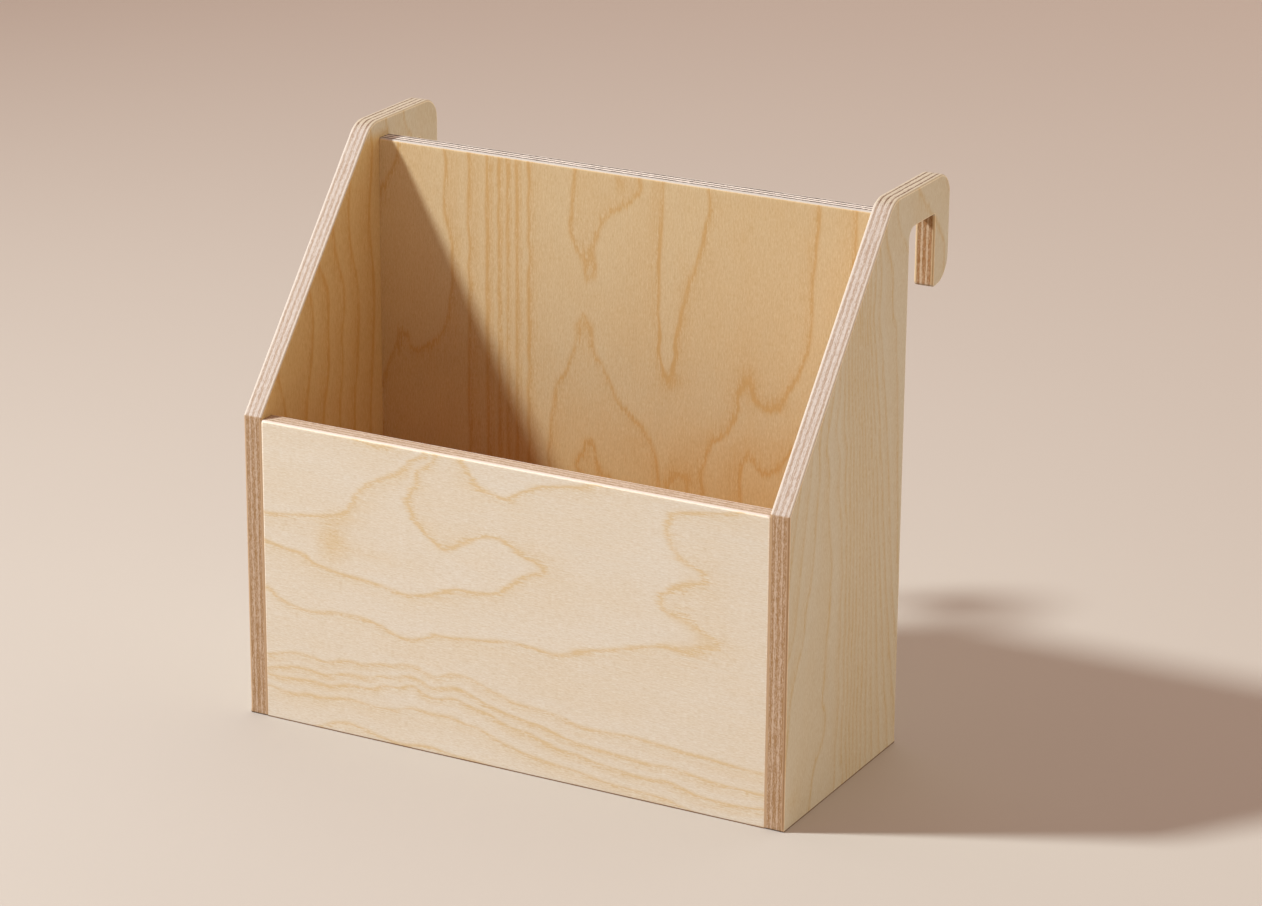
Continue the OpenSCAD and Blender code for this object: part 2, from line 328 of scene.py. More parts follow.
def corner(before, at, after, count):
    """Points of a rounded corner, on the circle of its radius that touches both edges: its middle plus
    (first sin((1 - t) w) + last sin(t w)) / sin(w), where first and last are the two touching points as
    seen from the middle, and w is the angle between them."""
    radius = at[2]
    place = np.array(at[:2], float)
    to_last = np.array(before[:2]) - place
    to_next = np.array(after[:2]) - place
    to_last = to_last / np.linalg.norm(to_last)
    to_next = to_next / np.linalg.norm(to_next)
    half = np.arccos(np.clip(to_last @ to_next, -1, 1)) / 2
    middle = place + (to_last + to_next) / np.linalg.norm(to_last + to_next) * radius / sin(half)
    first = place + to_last * radius / np.tan(half) - middle
    last = place + to_next * radius / np.tan(half) - middle
    share = np.linspace(0, 1, count + 1)[:, None]
    sweep = pi - 2 * half
    return middle + (first * np.sin((1 - share) * sweep) + last * np.sin(share * sweep)) / sin(sweep)


def along(points, count):
    """Points at equal steps of length along a line of points."""
    points = np.array(points)
    reach = np.r_[0, np.cumsum(np.linalg.norm(np.diff(points, axis=0), axis=1))]
    at = np.linspace(0, reach[-1], count + 1)
    return np.stack([np.interp(at, reach, points[:, k]) for k in (0, 1)], 1)


def chain(*stretches):
    """Stretches put end to end, without the doubled points."""
    return np.concatenate([stretches[0]] + [s[1:] for s in stretches[1:]])


def side_chains():
    """The two chains of a side board's outline that the rungs of its faces join. The front one runs up
    the front edge and the slope, over the crown and down the hook's back; the rear one up the rear edge,
    round the slot and down the hook's inside."""
    outline = [FOOT, BROW, CROWN, HOOK_BACK, HOOK_TIP, TOE, SLOT_REAR, SLOT_FRONT, REAR_FOOT]
    before = outline[-1:] + outline[:-1]
    after = outline[1:] + outline[:1]
    foot, brow, crown, hook_back, hook_tip, toe, slot_rear, slot_front, rear_foot = (
        corner(*three, CORNER_STEPS) for three in zip(before, outline, after))
    rise = np.array(CROWN[:2]) - np.array(BROW[:2])
    level = np.array(BROW[:2]) + rise * (SLOT_H - SLOT_FRONT[2] - BROW[1]) / rise[1]
    over_ceiling = np.array([slot_rear[-1][0], RACK_H])
    front_line = np.array([foot[-1], *brow, level])
    heights = np.linspace(foot[-1][1], level[1], int((level[1] - foot[-1][1]) / CELL))
    bend = brow[::BROW_STRIDE, 1]
    heights = np.sort(np.r_[heights, bend, bend[0] - BROW_MARGIN, bend[-1] + BROW_MARGIN])
    front_depths = np.interp(heights, front_line[:, 1], front_line[:, 0])
    front = chain(
        along(foot, FOOT_RUNGS),
        np.stack([front_depths, heights], 1),
        along([level, crown[0]], SLOPE_RUNGS),
        along([*crown, over_ceiling], ARM_RUNGS),
        along([over_ceiling, hook_back[0]], ARM_END_RUNGS),
        along([*hook_back, hook_tip[0]], HOOK_RUNGS),
        along(hook_tip, TIP_RUNGS))
    rear = chain(
        along(rear_foot[::-1], FOOT_RUNGS),
        np.stack([np.full(len(heights), float(SIDE_D)), heights], 1),
        along(slot_front[::-1], SLOPE_RUNGS),
        along([slot_front[0], slot_rear[-1]], ARM_RUNGS),
        along(slot_rear[::-1], ARM_END_RUNGS),
        along([slot_rear[0], toe[-1]], HOOK_RUNGS),
        along(toe[::-1], TIP_RUNGS))
    return front, rear


def plain_chains(low, high):
    """Lower and upper edge of a rectangle, cut into equal cells."""
    count = int((high[0] - low[0]) / CELL)
    run = np.linspace(low[0], high[0], count + 1)
    return np.stack([run, np.full(count + 1, low[1])], 1), np.stack([run, np.full(count + 1, high[1])], 1)


# Figure of the veneers

def plate_surface(lines):
    """The surface h(u, v) = sum of w r^2 log r + a + b u + c v that bends least through the points of the
    lines, where r is the distance to a point and w its weight, as a function that gives its height and
    its slope along each direction."""
    at = np.array([p for _, points in lines for p in points], float)
    level = np.array([height for height, points in lines for _ in points], float)
    apart = ((at[:, None] - at[None]) ** 2).sum(-1)
    count = len(at)
    system = np.zeros((count + 3, count + 3))
    system[:count, :count] = .5 * apart * np.log(apart + TINY)
    system[:count, count] = 1
    system[:count, count + 1:] = at
    system[count, :count] = 1
    system[count + 1:, :count] = at.T
    weights = np.linalg.solve(system, np.r_[level, 0, 0, 0])
    pull, flat, tilt = weights[:count], weights[count], weights[count + 1:]

    def surface(points):
        away = points[:, None] - at[None]
        square = (away ** 2).sum(-1) + TINY
        logs = np.log(square)
        height = (.5 * square * logs) @ pull + flat + points @ tilt
        slopes = [((logs + 1) * away[..., k]) @ pull + tilt[k] for k in (0, 1)]
        return height, slopes[0], slopes[1]
    return surface


def wave_surface(seed, grain):
    """The surface h(u, v) = sqrt((v - m)^2 + b^2) / s + u / r + a sum of long sine waves, with the grain
    along u, whose contours are arches: m is their middle, b their bluntness, s their spacing and r their
    rise. It is a function that gives its height and its slope along each direction."""
    rng = np.random.default_rng(seed)
    length_along = rng.uniform(*WAVE_ALONG, WAVES)
    length_across = rng.uniform(*WAVE_ACROSS, WAVES)
    phase = rng.uniform(0, 2 * pi, WAVES)
    sign = rng.choice([-1, 1], WAVES)
    size = rng.uniform(*WAVE_SIZE, WAVES)
    middle = rng.uniform(*ARCH_MIDDLE)
    rise = rng.uniform(*ARCH_RISE)

    def surface(points):
        run, over = points[:, grain], points[:, 1 - grain]
        wave = 2 * pi * (run[:, None] / length_along + sign * over[:, None] / length_across) + phase
        bow = np.sqrt((over - middle) ** 2 + ARCH_BLUNTNESS ** 2)
        height = bow / ARCH_SPACING + run / rise + (size * np.sin(wave)).sum(1)
        by_run = 1 / rise + (size * np.cos(wave) * 2 * pi / length_along).sum(1)
        by_over = (size * np.cos(wave) * 2 * pi * sign / length_across).sum(1)
        by_over = (over - middle) / bow / ARCH_SPACING + by_over
        return (height, by_run, by_over) if grain == LEVEL_GRAIN else (height, by_over, by_run)
    return surface


def figure_of(surface, patches, points, grain):
    """Height, steepness and slope along the grain of the figure at each point, and how dark its patches
    are. A patch is its strength times exp(-r^2), with r = 1 on its oval."""
    blocks = np.array_split(points, max(1, len(points) // BLOCK))
    height, by_u, by_v = (np.concatenate(part) for part in zip(*map(surface, blocks)))
    steep = np.hypot(by_u, by_v)
    lean = (by_u, by_v)[grain]
    stain = np.zeros(len(points))
    for u, v, half_u, half_v, strength in patches:
        far = ((points[:, 0] - u) / half_u) ** 2 + ((points[:, 1] - v) / half_v) ** 2
        stain = stain + strength * np.exp(-far)
    return np.stack([height, steep, lean], 1), stain


# Boards

def offset_rays(points):
    """For each point of a closed clockwise line, the step inwards that moves both its edges in by one."""
    ahead = np.roll(points, -1, 0) - points
    ahead = ahead / np.linalg.norm(ahead, axis=1)[:, None]
    behind = np.roll(ahead, 1, 0)
    right = np.stack([ahead[:, 1], -ahead[:, 0]], 1)
    right_before = np.stack([behind[:, 1], -behind[:, 0]], 1)
    return (right + right_before) / (1 + (right * right_before).sum(1))[:, None]


def rim_profile(outer_r, inner_r):
    """The profile of the rim from the outer to the inner face, as rows over the points of the outline:
    how far in it lies, how deep, and how far it has turned from a face, 0, to the cut edge, 1. Each arris
    is a quarter round of its radius r, r (1 - sin a) in and r (1 - cos a) deep. The stack of plies lies
    between them."""
    angles = np.radians(np.linspace(0, 90, ARRIS_STEPS + 1))[1:]
    rows = [(outer_r * (1 - sin(angle)), outer_r * (1 - cos(angle)), sin(angle)) for angle in angles]
    for part in np.linspace(0, 1, 2 * PLIES + 1)[1:-1]:
        depth = outer_r + (BOARD_T - outer_r - inner_r) * part
        rows.append((PLY_RELIEF * (np.floor(depth / BOARD_T * PLIES) % 2), depth, 1))
    for angle in angles[::-1]:
        rows.append((inner_r * (1 - sin(angle)), BOARD_T - inner_r * (1 - cos(angle)), sin(angle)))
    return [np.array(column) for column in zip(*rows)]


def grid_cells(rungs, columns):
    """The cells of a grid of points, as four point numbers each."""
    width = columns + 1
    first = (np.arange(rungs - 1)[:, None] * width + np.arange(columns)).ravel()
    return np.stack([first, first + 1, first + width + 1, first + width], 1)


def board(name, chains, columns, place, edges, faces, grain):
    """A board as one closed surface: each face is a grid of rungs between two chains of the outline, and
    the rim is a profile carried round the outline.
    chains: points in the board's plane, both from the same end.
    place: the function from plane and depth, in millimetres, to the frame.
    edges: the function from outline points, and how far they face along each axis of the plane, to the
    arris radius of the outer and the inner face, and to the look of the cut edge there.
    faces: surface and patches of the outer and the inner face.
    The mesh keeps the figure of its faces; as edge, the length round the outline, the depth and the rim's
    turn; and the look of the cut edge."""
    start, finish = chains
    rungs = len(start)
    share = np.linspace(0, 1, columns + 1)
    i_loop = np.r_[np.arange(rungs), np.full(columns - 1, rungs - 1), np.arange(rungs)[::-1],
                   np.zeros(columns - 1, int)]
    j_loop = np.r_[np.zeros(rungs, int), np.arange(1, columns), np.full(rungs, columns),
                   np.arange(1, columns)[::-1]]
    outline = start[i_loop] * (1 - share[j_loop])[:, None] + finish[i_loop] * share[j_loop][:, None]
    # The ray of a clockwise outline points into the board
    area = np.roll(outline[:, 0], -1) @ outline[:, 1] - outline[:, 0] @ np.roll(outline[:, 1], -1)
    rays = offset_rays(outline) if area > 0 else offset_rays(outline[::-1])[::-1]
    facing = abs(rays) / np.linalg.norm(rays, axis=1)[:, None]
    outer_r, inner_r, look = edges(outline, facing)
    length = np.r_[0, np.cumsum(np.linalg.norm(np.diff(outline, axis=0), axis=1))]

    def face_grid(radius):
        inset = outline + rays * radius[:, None]
        a = inset[:rungs]
        b = inset[rungs + columns - 1:2 * rungs + columns - 1][::-1]
        return (a[:, None] * (1 - share)[:, None] + b[:, None] * share[:, None]).reshape(-1, 2)

    outer, inner = face_grid(outer_r), face_grid(inner_r)
    insets, depths, turns = rim_profile(outer_r, inner_r)
    rim = outline[None] + rays[None] * insets[..., None]
    plane = np.concatenate([outer, inner, rim.reshape(-1, 2)])
    depth = np.concatenate([np.zeros(len(outer)), np.full(len(inner), BOARD_T), depths.ravel()])
    places = place(plane[:, 0], plane[:, 1], depth) * MM

    size = len(outer)
    rows = len(insets)
    loop_ids = i_loop * (columns + 1) + j_loop
    rim_ids = 2 * size + np.arange(rows * len(outline)).reshape(rows, -1)
    rings = np.concatenate([loop_ids[None], rim_ids, loop_ids[None] + size])
    ring_next = np.roll(rings, -1, 1)
    outer_quads = grid_cells(rungs, columns)
    inner_quads = outer_quads[:, ::-1] + size
    rim_quads = np.stack([rings[:-1], ring_next[:-1], ring_next[1:], rings[1:]], -1).reshape(-1, 4)
    quads = facing_out(places, np.concatenate([outer_quads, inner_quads, rim_quads]))

    upper = depth < BOARD_T / 2
    figure = np.zeros((len(plane), 3))
    stain = np.zeros(len(plane))
    for chosen, (surface, patches) in zip((upper, ~upper), faces):
        figure[chosen], stain[chosen] = figure_of(surface, patches, plane[chosen], grain)
    edge = np.zeros((len(plane), 3))
    edge[loop_ids, 0] = edge[loop_ids + size, 0] = length
    edge[2 * size:, 0] = np.tile(length, rows)
    edge[:, 1] = depth
    edge[2 * size:, 2] = np.repeat(turns, len(outline))
    cut = np.zeros((len(plane), look.shape[1]))
    cut[loop_ids] = cut[loop_ids + size] = look
    cut[2 * size:] = np.tile(look, (rows, 1))
    vectors = {"figure": figure, "edge": edge, "cut_along": cut[:, 0:3], "cut_across": cut[:, 3:6],
               "cut_outer": cut[:, 6:9]}
    values = {"stain": stain, "breadth": cut[:, 9], "streaks": cut[:, 10]}
    return mesh_piece(name, places, quads, vectors, values)


def facing_out(places, quads):
    """The same faces, turned round if the volume that they enclose comes out negative: six times it is
    the sum of a . (b x c) + a . (c x d) over the faces."""
    a, b, c, d = (places[quads[:, k]] for k in range(4))
    volume = (a * np.cross(b, c)).sum() + (a * np.cross(c, d)).sum()
    return quads if volume > 0 else quads[:, ::-1]


def mesh_piece(name, places, quads, vectors, values):
    """A smooth-shaded mesh object from arrays, with its vector and number attributes on the vertices."""
    mesh = bpy.data.meshes.new(name)
    mesh.vertices.add(len(places))
    mesh.vertices.foreach_set("co", places.astype(np.float32).ravel())
    mesh.loops.add(quads.size)
    mesh.loops.foreach_set("vertex_index", quads.astype(np.int32).ravel())
    mesh.polygons.add(len(quads))
    mesh.polygons.foreach_set("loop_start", np.arange(0, quads.size, 4, dtype=np.int32))
    mesh.update(calc_edges=True)
    mesh.polygons.foreach_set("use_smooth", np.ones(len(quads), bool))
    for label, data in vectors.items():
        mesh.attributes.new(label, "FLOAT_VECTOR", "POINT").data.foreach_set(
            "vector", data.astype(np.float32).ravel())
    for label, data in values.items():
        mesh.attributes.new(label, "FLOAT", "POINT").data.foreach_set("value", data.astype(np.float32))
    mesh.validate()
    piece = bpy.data.objects.new(name, mesh)
    bpy.context.scene.collection.objects.link(piece)
    return piece


def side_edges(outline, facing):
    """Outer arris round, but fine at the foot; inner arris closed up the front edge and along the front
    half of the bottom, and round elsewhere. The cut edge changes its look from upright over slanting to
    level, and from the board to the hook."""
    outer = np.interp(outline[:, 1], (0, ARRIS_RUN), (FOOT_ARRIS, ARRIS))
    up_front = np.interp(outline[:, 1], (SIDE_FRONT_H - ARRIS_RUN, SIDE_FRONT_H), (0, 1))
    at_rear = np.interp(outline[:, 0], (SIDE_D / 2, SIDE_D * 3 / 4), (0, 1))
    above_foot = np.clip((outline[:, 1] - FOOT[2]) / FOOT[2], 0, 1) * at_rear
    open_share = np.maximum(up_front, above_foot)
    slanting = np.interp(facing[:, 1], SLANTING_FACING, (0, 1))[:, None]
    level = np.interp(facing[:, 1], LEVEL_FACING, (0, 1))[:, None]
    on_hook = np.interp(outline[:, 0], (SIDE_D, SIDE_D + HOOK_CUT_RUN), (0, 1))[:, None]
    upright_cut = UPRIGHT_CUT + (HOOK_CUT - UPRIGHT_CUT) * on_hook
    look = upright_cut + (SLANTING_CUT_AND_SHEEN - upright_cut) * slanting + (LEVEL_CUT - SLANTING_CUT_AND_SHEEN) * level
    return outer, CLOSED_ARRIS + (ARRIS - CLOSED_ARRIS) * open_share, look


def cross_edges(look):
    """The edges of a board across the rack, with this look all round."""
    return lambda outline, facing: (*cross_arrises(outline), np.tile(look, (len(outline), 1)))


def cross_arrises(outline):
    """Both top arrises round and the outer one at the foot fine; the others closed by joints."""
    low, high = outline[:, 1].min(), outline[:, 1].max()
    inside = (outline[:, 0] > outline[:, 0].min()) & (outline[:, 0] < outline[:, 0].max())
    at_top = inside & (outline[:, 1] > high - CELL / 4)
    at_foot = inside & (outline[:, 1] < low + CELL / 4)
    outer = np.where(at_top, ARRIS, np.where(at_foot, FOOT_ARRIS, CLOSED_ARRIS))
    inner = np.where(at_top, ARRIS, CLOSED_ARRIS)
    return outer, inner


def closed_edges(outline, facing):
    """A board with all its edges in joints."""
    closed = np.full(len(outline), CLOSED_ARRIS)
    return closed, closed, np.tile(UPRIGHT_CUT, (len(outline), 1))


def side_board(name, side, faces, material):
    """A side board with its hook, on the left with side -1 and on the right with side 1."""
    def place(depth, height, through):
        return np.stack([side * (HALF_W - through), FRONT_Y + depth, height], 1)
    piece = board(name, side_chains(), SIDE_COLUMNS, place, side_edges, faces, UPRIGHT_GRAIN)
    return finished(piece, name, material)


def cross_board(name, low, high, outward, faces, grain, look, material):
    """A board across the rack; outward is -1 where its outer face looks to the front, 1 to the rear."""
    def place(across, height, through):
        face = low[Y] if outward < 0 else high[Y]
        return np.stack([across, face - outward * through, height], 1)
    chains = plain_chains((low[X], low[Z]), (high[X], high[Z]))
    columns = int((high[Z] - low[Z]) / CELL)
    piece = board(name, chains, columns, place, cross_edges(look), faces, grain)
    return finished(piece, name, material)


def floor_board(name, faces, material):
    """The board between the other four, its outer face down."""
    def place(across, depth, through):
        return np.stack([across, depth, floor_low[Z] + through], 1)
    chains = plain_chains(floor_low[:2], floor_high[:2])
    columns = int((floor_high[Y] - floor_low[Y]) / CELL)
    piece = board(name, chains, columns, place, closed_edges, faces, LEVEL_GRAIN)
    return finished(piece, name, material)


def finished(piece, node, material):
    """The board in place of its CAD node, with its material."""
    piece.name = node + "_board"
    piece.data.materials.append(material)
    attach(piece, "root")
    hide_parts(node)
    return piece


# Materials

# A fine mark is a noise: length along the grain and width across it in millimetres, detail, roughness and
# the level that it is read at. It shifts a late line in millimetres or a ply's border in plies, breaks up
# a line, darkens the wood towards its deep colour, dims any colour, and is deep, each by so much.
Mark = namedtuple("Mark", "length width detail rough level shift breaks darkens dims deep",
                  defaults=(.5, 0, 0, 0, 0, 0, 0))

# Veneer: its marks, and the range of noise that makes a fleck
FIBRE = Mark(4.5, .5, 3, rough=.6, shift=.5, breaks=.5, darkens=.28, dims=.06, deep=.4)
DASH = Mark(1.6, .4, 1, shift=.3, breaks=.3, darkens=.26, dims=.05, deep=.3)
STREAK = Mark(15, 1.1, 2, shift=.7, breaks=.4, darkens=.07)
FLECK = Mark(1.8, .32, 1, darkens=.12, dims=.07)
FINE_SWAY = Mark(8, .7, 3, rough=.6, shift=2.8)
BROAD_SWAY = Mark(24, 4, 2, shift=1.6)
LINE_PATCH = Mark(30, 10, 2, breaks=.32)
CLOUD = Mark(50, 16, 3, darkens=.12)
TONE = Mark(18, 4, 3, dims=.012)
FLECK_RANGE = (.62, .95)

# A line of late wood: its fade on the early and on the late side in millimetres, the square of its core's
# width, the strength of its sides and of its core, and how much wider it is where it crosses the grain
EARLY_FADE = 2.8
LATE_FADE = 1.2
CORE_SQUARE = .55
SIDES_STRENGTH = .5
CORE_STRENGTH = .7
CROSSING_SPREAD = .6
# Least lines per millimetre, strength of the faintest line, how much others exceed it, and the level
# about which patches of a line vary
LEAST_STEEP = 1 / 60
LINE_LEAST = .78
LINE_VARIETY = .3
PATCH_LEVEL = .92
# How dark the wood between the lines, the stains and the ground are, and the most of all together
SUMMER_DEPTH = .75
STAIN_DEPTH = .6
GROUND_DEPTH = .2
DEEPEST = 1.15

# Cut edges: their marks, the range of noise that makes a pit, and the share of pits in plies cut along
PLY_WAVER = Mark(26, 4, 2, rough=.6, shift=.09)
LONG_STREAK = Mark(9, .28, 3, rough=.6, level=3, shift=.16, darkens=.50, dims=.03)
BROAD_STREAK = Mark(40, .8, 2, rough=.6, level=7, darkens=.28)
SHORT_STREAK = Mark(2.4, .5, 2, rough=.6, level=9, shift=.10, darkens=.46, dims=.04)
SPECK = Mark(1.0, .45, 2, rough=.6, level=1, darkens=.36, dims=.07, deep=.6)
PIT = Mark(1.6, .4, 1, rough=.6, level=5, darkens=.8, dims=.08)
PIT_RANGE = (.4, .8)
PIT_ALONG = .4

# Plies: middle of the first one cut across, softness of their borders, how much streaks gain where they
# hide the plies, the range of shades, and the depth from a face where the outer ply's colour ends and is
# full
FIRST_ACROSS = 1.5
PLY_BORDER = .16
STREAK_GAIN = 1.6
SHADE_RANGE = (-.2, 1.2)
SKIN_FROM = 1.02
SKIN_TO = .80
# Glue seams: the distance from one where it starts and is full, how dark it is and how deep
SEAM_RANGE = (.12, .02)
SEAM_DIMS = .05
SEAM_DEEP = .5

# One face's colours pass into the other's over this share of the board either side of its middle
HALF_BAND = .05
# Where the bin ends behind and above, in millimetres
BIN_REAR = (back_low[Y] + 1, back_high[Y] + 2)
BIN_TOP = (back_high[Z] - 1, back_high[Z] + 5)
# Where the painted warm shade low in the bin starts and is full, in height and to the right
LOW_SHADE_HEIGHTS = (150, 95)
LOW_SHADE_SIDEWAYS = (-75, -20)
# The rim's turn where the cut edge starts and is full, where the painted arris highlight starts and is
# full, and where it ends and was full last; how much brighter the painted highlight is outside and in the
# bin
CUT_TURN = (.3, .7)
HIGHLIGHT_TURN = (0, .25)
HIGHLIGHT_END_TURN = (.9, .5)
OUTER_PAINTED_HIGHLIGHT = 0.3
BIN_PAINTED_HIGHLIGHT = 0.1
# Heights at which the painted contact shadow along the foot starts and is full
CONTACT_SHADOW_HEIGHTS = (.7, .35)

# Lacquer: roughness on the faces, what the cut edge adds, gloss, and strength and height of the relief
FACE_ROUGH = .48
CUT_ROUGHER = .3
LACQUER_GLOSS = .4
RELIEF_STRENGTH = .25
RELIEF_H = .05

# Dowels and paper: their marks, the range of noise that makes a ray, roughness and gloss
DOWEL_STREAK = Mark(1.2, 1.2, 3, rough=.6, dims=.08)
DOWEL_RAY = Mark(.5, .5, 1, dims=.2)
DOWEL_RAY_RANGE = (.4, .9)
DOWEL_ROUGH = .6
PAPER_TOOTH = Mark(1.5, 1.5, 2, dims=.006)
PAPER_CLOUD = Mark(260, 260, 2, dims=.006)
PAPER_ROUGH = .85
PAPER_GLOSS = .2


class Reading:
    """A number, vector or colour in a material, with arithmetic that makes the nodes."""

    def __init__(self, socket):
        self.socket = socket

    def math(self, operation, *others):
        node = self.socket.id_data.nodes.new("ShaderNodeMath")
        node.operation = operation
        return read(node, dict(enumerate((self, *others))))

    def __add__(self, other):
        return self.math("ADD", other)

    def __sub__(self, other):
        return self.math("SUBTRACT", other)

    def __mul__(self, other):
        return self.math("MULTIPLY", other)

    def __truediv__(self, other):
        return self.math("DIVIDE", other)

    def within(self, low, high):
        """0 at low, 1 at high, and a smooth rise between."""
        node = self.socket.id_data.nodes.new("ShaderNodeMapRange")
        node.interpolation_type = "SMOOTHSTEP"
        return read(node, {"Value": self, "From Min": low, "From Max": high}, "Result")

    def exp(self):
        return self.math("EXPONENT")


def connect(value, socket):
    """Links a reading, or sets a plain number or colour."""
    if isinstance(value, Reading):
        socket.id_data.links.new(value.socket, socket)
    else:
        socket.default_value = value


def read(node, inputs, output=0):
    """An output of a node, once these inputs are linked or set."""
    for label, value in inputs.items():
        connect(value, node.inputs[label])
    return Reading(node.outputs[output])


def attribute(tree, name, output="Vector"):
    """An attribute of the mesh, as a vector or colour, or by its output Fac as a number."""
    node = tree.nodes.new("ShaderNodeAttribute")
    node.attribute_name = name
    return Reading(node.outputs[output])


def parts_of(tree, reading):
    """The three numbers of a vector."""
    node = tree.nodes.new("ShaderNodeSeparateXYZ")
    connect(reading, node.inputs[0])
    return [Reading(out) for out in node.outputs]


def place_in_mm(tree):
    """Object coordinates in millimetres."""
    node = tree.nodes.new("ShaderNodeTexCoord")
    return [part / MM for part in parts_of(tree, Reading(node.outputs["Object"]))]


def noise(tree, mark, along, across, third):
    """The noise of a mark, between about -1 and 1: the places along and across it are in millimetres, and
    the third number is taken as it is."""
    place = tree.nodes.new("ShaderNodeCombineXYZ")
    at = read(place, {0: along / mark.length, 1: across / mark.width, 2: third})
    node = tree.nodes.new("ShaderNodeTexNoise")
    level = read(node, {"Vector": at, "Scale": 1, "Detail": mark.detail, "Roughness": mark.rough}, "Fac")
    return (level - .5) * 3


def random_of(tree, number):
    """A random share for each whole number."""
    node = tree.nodes.new("ShaderNodeTexWhiteNoise")
    node.noise_dimensions = "1D"
    return read(node, {"W": number}, "Value")


def mixed(tree, share, first, second, blend="MIX"):
    """Two colours mixed by a share."""
    node = tree.nodes.new("ShaderNodeMix")
    node.data_type = "RGBA"
    node.blend_type = blend
    return read(node, {"Factor": share, "A": first, "B": second}, "Result")


def scaled_colour(tree, colour, amount):
    """A colour times one number."""
    node = tree.nodes.new("ShaderNodeVectorMath")
    node.operation = "SCALE"
    return read(node, {0: colour if isinstance(colour, Reading) else colour[:3], "Scale": amount})


def shader_of(name):
    """A new material, its tree and its main shader."""
    material = bpy.data.materials.new(name)
    material.use_nodes = True
    return material, material.node_tree, material.node_tree.nodes["Principled BSDF"]


def veneer_colour(tree, across_axis, along_axis, base, line_tint, line_strength):
    """Colour and height of a birch face. The figure's height h grows by one from one line of late wood to
    the next, so (h - round h) / steepness is the distance d to the nearest line. The line fades as exp(d
    / e) on its early side and as exp(-(d / l)^2) on its late side, with a core of exp(-d^2 / c), where e,
    l and c are its fades and its core's square, each the wider the more it crosses the grain. Sways carry
    it along the grain, so that it feathers. Between lines the wood darkens as f^2 (1 - f), f the fraction
    of h."""
    spot = place_in_mm(tree)
    run = spot[along_axis]
    over = spot[across_axis]
    third = spot[X + Y + Z - along_axis - across_axis]
    height, steep, lean = parts_of(tree, attribute(tree, "figure"))
    stain = attribute(tree, "stain", "Fac")

    def grain(mark):
        return noise(tree, mark, run, over, third / mark.width)

    fibre = grain(FIBRE)
    dash = grain(DASH)
    streak = grain(STREAK)
    sway = grain(FINE_SWAY) * FINE_SWAY.shift + grain(BROAD_SWAY) * BROAD_SWAY.shift
    shifted = height + lean * sway
    ring = shifted.math("ROUND")
    steep = steep.math("MAXIMUM", LEAST_STEEP)
    away = (shifted - ring) / steep + fibre * FIBRE.shift + streak * STREAK.shift + dash * DASH.shift
    crossing = lean / steep
    width = crossing * crossing * CROSSING_SPREAD + 1
    before = (away.math("MINIMUM", 0) / width / EARLY_FADE).exp()
    after = away.math("MAXIMUM", 0) / width / LATE_FADE
    after = (after * after * -1).exp()
    core = (away * away / width / width / -CORE_SQUARE).exp()
    patchy = grain(LINE_PATCH) * LINE_PATCH.breaks + PATCH_LEVEL
    grit = fibre * FIBRE.breaks + streak * STREAK.breaks + dash * DASH.breaks + 1
    own = random_of(tree, ring) * LINE_VARIETY + LINE_LEAST
    line = (before * after * SIDES_STRENGTH + core * CORE_STRENGTH) * own * patchy * grit
    late = shifted.math("FRACT")
    late = late * late * (late * -1 + 1) * SUMMER_DEPTH
    fleck = grain(FLECK).within(*FLECK_RANGE)
    dark = line * line_strength + late + stain * grit * STAIN_DEPTH + grain(CLOUD) * CLOUD.darkens
    dark = dark + fibre * FIBRE.darkens + streak * STREAK.darkens + dash * DASH.darkens
    dark = dark + fleck * FLECK.darkens + GROUND_DEPTH
    dark = dark.math("MAXIMUM", 0).math("MINIMUM", DEEPEST)
    pale = mixed(tree, 1.0, base, PALE_TINT, "MULTIPLY")
    deep = mixed(tree, 1.0, base, line_tint, "MULTIPLY")
    value = fibre * -FIBRE.dims - dash * DASH.dims + grain(TONE) * TONE.dims + 1 - fleck * FLECK.dims
    colour = scaled_colour(tree, mixed(tree, dark, pale, deep), value)
    return colour, fibre * -FIBRE.deep - dash * DASH.deep - fleck


